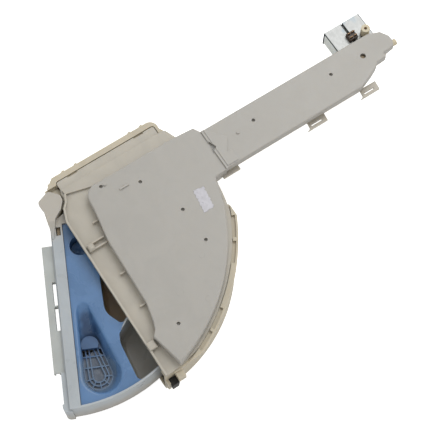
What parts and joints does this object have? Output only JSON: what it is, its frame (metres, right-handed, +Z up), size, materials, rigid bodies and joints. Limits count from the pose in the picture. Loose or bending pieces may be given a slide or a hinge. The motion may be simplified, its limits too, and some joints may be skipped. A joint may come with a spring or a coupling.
{
  "type": "washing machine detergent dispenser with swing-out drawer",
  "caption": "Quarter-round dispenser housing with a hinged drawer, blue softener insert, a long water duct arm and a twin solenoid inlet valve.",
  "frame": {"origin": "on the drawer's hinge axis, on the plane of the tub's flat underside", "axes": "+Z up; -Y is the front of the machine; +X to the right seen from the front; the duct arm runs along +Y"},
  "size_m": [0.2487, 0.4969, 0.0721],
  "materials": {
    "tub_cream": "moulded cream plastic, slightly yellowed",
    "plate_cream": "moulded cream plastic",
    "cover_grey": "moulded warm grey plastic",
    "screw_steel": "dull dark steel",
    "pin_steel": "bright steel",
    "catch_black": "moulded black plastic",
    "drawer_white": "smooth bluish white plastic",
    "insert_blue": "smooth blue plastic",
    "rail_grey": "moulded pale grey-green plastic",
    "valve_white": "moulded white plastic",
    "sieve_plastic": "fine moulded plastic",
    "seal_rubber": "black rubber",
    "connector_brown": "moulded dark brown plastic",
    "terminal_brass": "stamped brass",
    "coil_white": "moulded white coil",
    "yoke_zinc": "bright zinc plated steel sheet",
    "tube_steel": "drawn stainless steel",
    "plunger_iron": "turned soft iron",
    "spring_steel": "spring steel wire"
  },
  "bodies": {
    "housing": {"housing_tub": "tub_cream", "distributor_plate": "plate_cream", "distributor_cover": "cover_grey", "cover_screw": "screw_steel", "hinge_pin": "pin_steel", "drawer_catch": "catch_black", "valve_body": "valve_white", "inlet_filter": "sieve_plastic", "flow_regulator": "seal_rubber", "coil_connector": "connector_brown", "coil_terminals": "terminal_brass", "coil_front": "coil_white", "yoke_front": "yoke_zinc", "guide_tube_front": "tube_steel", "plunger_spring_front": "spring_steel", "diaphragm_front": "seal_rubber", "outlet_seal_front": "seal_rubber", "coil_rear": "coil_white", "yoke_rear": "yoke_zinc", "guide_tube_rear": "tube_steel", "plunger_spring_rear": "spring_steel", "diaphragm_rear": "seal_rubber", "outlet_seal_rear": "seal_rubber"},
    "drawer": {"drawer_tray": "drawer_white", "drawer_insert": "insert_blue", "front_rail": "rail_grey"},
    "front_plunger": {"plunger_front": "plunger_iron"},
    "rear_plunger": {"plunger_rear": "plunger_iron"}
  },
  "joints": [
    {"name": "drawer_swing", "type": "hinge", "parent": "housing", "child": "drawer", "pos_m": [0, 0, 0.03], "axis": [0, 0, 1], "range_deg": [-35, 25]},
    {"name": "plunger_front_lift", "type": "slide", "parent": "housing", "child": "front_plunger", "axis": [-1, 0, 0], "range_m": [0, 0.0025], "stiffness_N_per_m": 120, "springref_m": -0.004, "deforming": ["plunger_spring_front"]},
    {"name": "plunger_rear_lift", "type": "slide", "parent": "housing", "child": "rear_plunger", "axis": [-1, 0, 0], "range_m": [0, 0.0025], "stiffness_N_per_m": 120, "springref_m": -0.004, "deforming": ["plunger_spring_rear"]}
  ]
}
